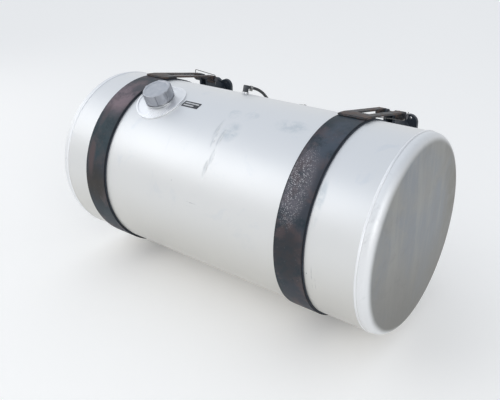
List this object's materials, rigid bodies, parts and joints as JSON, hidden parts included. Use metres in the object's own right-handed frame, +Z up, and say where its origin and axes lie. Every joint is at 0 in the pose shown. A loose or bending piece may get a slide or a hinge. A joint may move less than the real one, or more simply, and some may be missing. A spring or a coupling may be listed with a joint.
{
  "type": "truck fuel tank",
  "caption": "Round aluminium truck fuel tank with filler cap, vent and level sender, strapped into brackets that bolt to a frame rail.",
  "frame": {"origin": "middle of the bracket bolt holes, on the face of the frame rail", "axes": "+X along the tank, to the right seen from outside the vehicle; +Y into the frame rail; +Z up"},
  "size_m": [1.362, 0.758, 0.765],
  "materials": {
    "satin_aluminium": "satin",
    "mill_aluminium": "satin",
    "cast_grey": "satin",
    "black_rubber": "matte",
    "seal_rubber": "matte",
    "hose_rubber": "satin",
    "plated_steel": "satin",
    "fitting_brass": "satin",
    "float_plastic": "matte",
    "black_fitting": "matte",
    "strap_paint": "worn satin",
    "fork_rust": "worn satin",
    "bracket_paint": "satin"
  },
  "bodies": {
    "tank": {"tank_shell": "satin_aluminium", "head_left": "satin_aluminium", "head_right": "satin_aluminium", "filler_pad": "satin_aluminium", "baffle_left": "mill_aluminium", "baffle_right": "mill_aluminium", "filler_neck": "mill_aluminium", "sender_boss": "mill_aluminium", "draw_bung": "mill_aluminium", "return_bung": "mill_aluminium", "vent_bung": "mill_aluminium", "drain_bung": "mill_aluminium", "draw_tube": "mill_aluminium", "return_tube": "mill_aluminium", "strap_rubber_left": "black_rubber", "strap_rubber_right": "black_rubber", "saddle_rubber_left": "black_rubber", "saddle_rubber_right": "black_rubber", "sender_gasket": "seal_rubber", "drain_washer": "seal_rubber", "vent_hose": "hose_rubber", "sender_flange": "plated_steel", "sender_screws": "plated_steel", "sender_stem": "plated_steel", "sender_clevis": "plated_steel", "sender_pin": "plated_steel", "draw_strainer": "plated_steel", "hose_clamp": "plated_steel", "tension_bolt_left": "plated_steel", "tension_bolt_right": "plated_steel", "tension_washer_left": "plated_steel", "tension_washer_right": "plated_steel", "tension_nut_left": "plated_steel", "tension_nut_right": "plated_steel", "fork_pin_left": "plated_steel", "fork_pin_right": "plated_steel", "pin_clip_left": "plated_steel", "pin_clip_right": "plated_steel", "draw_fitting": "fitting_brass", "return_fitting": "fitting_brass", "sender_terminal": "fitting_brass", "drain_plug": "fitting_brass", "vent_elbow": "black_fitting", "strap_left": "strap_paint", "strap_right": "strap_paint", "strap_fork_left": "fork_rust", "strap_fork_right": "fork_rust", "bracket_left": "bracket_paint", "bracket_right": "bracket_paint"},
    "cap_seal": {"cap_gasket": "seal_rubber", "cap_retainer": "plated_steel"},
    "cap": {"cap_shell": "cast_grey", "cap_screw": "plated_steel"},
    "float": {"float_arm": "plated_steel", "float": "float_plastic"}
  },
  "joints": [
    {"name": "cap_lift", "type": "slide", "parent": "tank", "child": "cap_seal", "axis": [0, -0.3746, 0.9272], "range_m": [0, 0.0251]},
    {"name": "cap_turn", "type": "hinge", "parent": "cap_seal", "child": "cap", "pos_m": [-0.2735, -0.42, -0.1], "axis": [0, -0.3746, 0.9272], "range_deg": [0, 900]},
    {"name": "float_swing", "type": "hinge", "parent": "tank", "child": "float", "pos_m": [0.1355, -0.384, -0.0571], "axis": [-1, 0, 0], "range_deg": [0, 98]}
  ],
  "couplings": [
    {"joint": "cap_lift", "follows": "cap_turn", "m_per_rad": 0.0015915}
  ]
}
